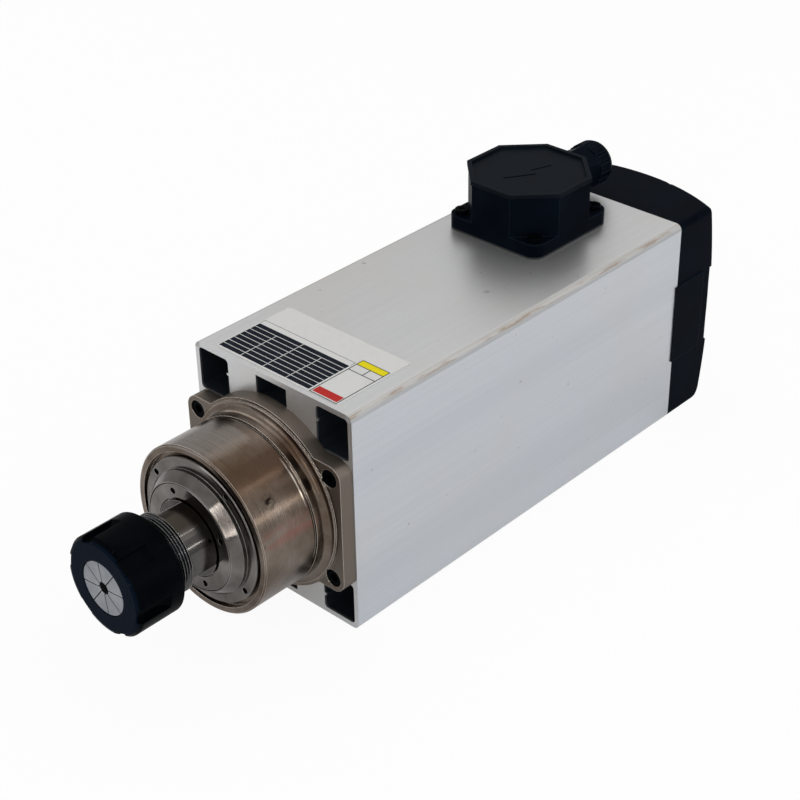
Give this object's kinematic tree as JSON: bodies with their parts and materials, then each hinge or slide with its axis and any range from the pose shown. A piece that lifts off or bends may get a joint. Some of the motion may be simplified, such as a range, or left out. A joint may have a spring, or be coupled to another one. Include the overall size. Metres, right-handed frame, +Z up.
{
  "type": "motor spindle",
  "caption": "Square-bodied, air-cooled motor spindle with a collet chuck on its nose, a terminal box on top and a fan cover at the rear.",
  "frame": {"origin": "middle of the base bolt pattern on the housing's base face", "axes": "+X to the right seen from the nose, +Y towards the rear cover, +Z up towards the terminal box; the spindle axis runs along Y, 60 mm above the base"},
  "size_m": [0.1046, 0.3992, 0.1518],
  "materials": {
    "pale_aluminium": "fine blasted extrusion",
    "nickel_iron": "smooth machined, dark nickel plate",
    "ground_steel": "ground",
    "bearing_steel": "polished",
    "black_steel": "black oxide",
    "lamination_steel": "stacked sheet",
    "enamelled_copper": "varnished winding",
    "cage_brass": "machined",
    "black_plastic": "moulded, fine texture",
    "pale_plastic": "moulded",
    "lead_sleeve": "flexible sleeve",
    "black_rubber": "matt",
    "label_film": "printed film"
  },
  "bodies": {
    "housing": {"housing_extrusion": "pale_aluminium", "front_flange": "nickel_iron", "flange_screws": "black_steel", "bearing_lock_ring": "nickel_iron", "front_bearing_outer_rings": "bearing_steel", "outer_spacer": "bearing_steel", "stator_core": "lamination_steel", "stator_windings": "enamelled_copper", "rear_bearing_outer_ring": "bearing_steel", "rear_wave_spring": "ground_steel", "rear_bracket": "pale_aluminium", "bracket_screws": "black_steel", "rear_cover": "black_plastic", "cover_screws": "black_steel", "junction_box_gasket": "black_rubber", "junction_box": "black_plastic", "junction_box_lid": "black_plastic", "junction_box_screws": "black_steel", "gland_body": "black_plastic", "gland_nut": "black_plastic", "gland_seal": "black_rubber", "gland_locknut": "black_plastic", "terminal_block": "pale_plastic", "terminal_screws": "cage_brass", "phase_leads": "lead_sleeve", "earth_screw": "cage_brass", "data_label": "label_film"},
    "spindle": {"spindle_shaft": "ground_steel", "labyrinth_ring": "nickel_iron", "front_bearing_inner_rings": "bearing_steel", "inner_spacer": "bearing_steel", "front_shaft_locknut": "black_steel", "rotor_core": "lamination_steel", "rotor_end_rings": "pale_aluminium", "rear_bearing_inner_ring": "bearing_steel", "rear_retaining_ring": "black_steel", "cooling_fan": "black_plastic", "fan_retaining_ring": "black_steel"},
    "front_balls": {"front_bearing_balls": "bearing_steel", "front_bearing_cages": "cage_brass"},
    "rear_balls": {"rear_bearing_balls": "bearing_steel", "rear_bearing_cage": "cage_brass"},
    "collet": {"collet": "ground_steel"},
    "nut": {"collet_nut": "black_steel", "extraction_ring": "ground_steel"}
  },
  "joints": [
    {"name": "spindle_spin", "type": "hinge", "parent": "housing", "child": "spindle", "pos_m": [0, 0, 0.06], "axis": [0, 1, 0], "continuous": true},
    {"name": "front_ball_spin", "type": "hinge", "parent": "housing", "child": "front_balls", "pos_m": [0, 0, 0.06], "axis": [0, 1, 0], "continuous": true},
    {"name": "rear_ball_spin", "type": "hinge", "parent": "housing", "child": "rear_balls", "pos_m": [0, 0, 0.06], "axis": [0, 1, 0], "continuous": true},
    {"name": "collet_draw", "type": "slide", "parent": "spindle", "child": "collet", "axis": [0, -1, 0], "range_m": [0, 0.0105]},
    {"name": "nut_turn", "type": "hinge", "parent": "collet", "child": "nut", "pos_m": [0, 0, 0.06], "axis": [0, -1, 0], "range_deg": [0, 2500]}
  ],
  "couplings": [
    {"joint": "front_ball_spin", "follows": "spindle_spin", "ratio": 0.4025},
    {"joint": "rear_ball_spin", "follows": "spindle_spin", "ratio": 0.4013},
    {"joint": "collet_draw", "follows": "nut_turn", "m_per_rad": 0.00023873}
  ]
}
